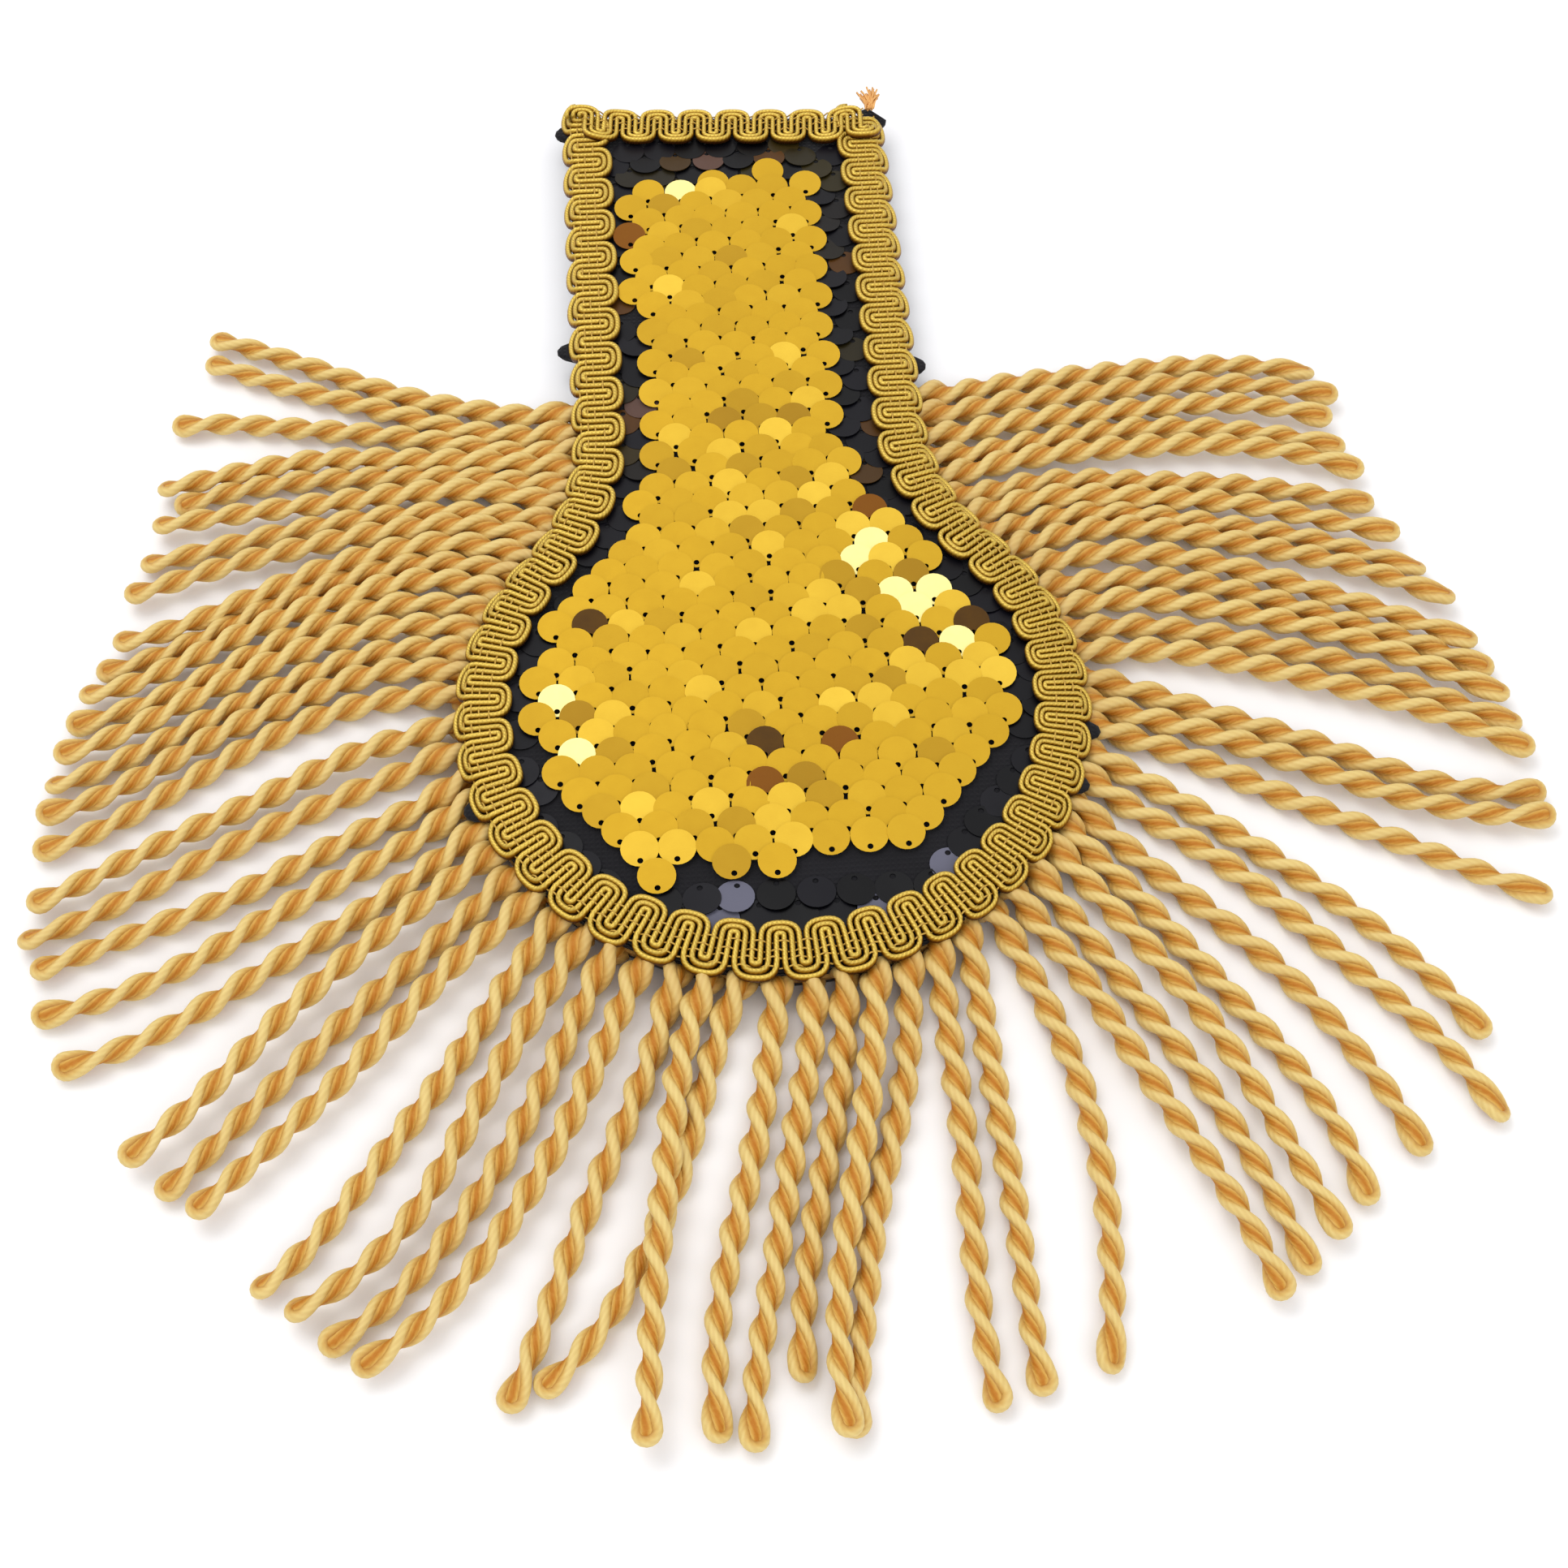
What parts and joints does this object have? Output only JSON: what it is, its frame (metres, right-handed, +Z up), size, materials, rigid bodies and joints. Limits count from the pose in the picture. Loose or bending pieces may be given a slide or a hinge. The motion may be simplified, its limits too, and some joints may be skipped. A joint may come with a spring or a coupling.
{
  "type": "bullion epaulette",
  "caption": "Costume shoulder epaulette: a keyhole-shaped board faced with flip sequins, edged with looped gimp braid and hung with a thick twisted bullion fringe.",
  "frame": {"origin": "centre of the round pad, on the flat underside of the felt that rests on the table", "axes": "+Y from the pad along the strap to its end, +Z up out of the face"},
  "size_m": [0.2132, 0.2354, 0.0084],
  "materials": {
    "black_felt": "matt felt",
    "black_board": "cloth-covered board",
    "bullion_cord": "lustrous twisted rayon",
    "black_sequins": "black knit ground with glossy black sequins",
    "gold_sequins": "metallised film",
    "gold_gimp": "metallic yarn",
    "frayed_gimp": "frayed metallic yarn"
  },
  "bodies": {
    "root": {"backing_felt": "black_felt", "board": "black_board", "bullion_fringe": "bullion_cord", "sequin_cloth": "black_sequins", "gold_sequins": "gold_sequins", "gimp_braid": "gold_gimp", "braid_end": "frayed_gimp"}
  },
  "joints": []
}
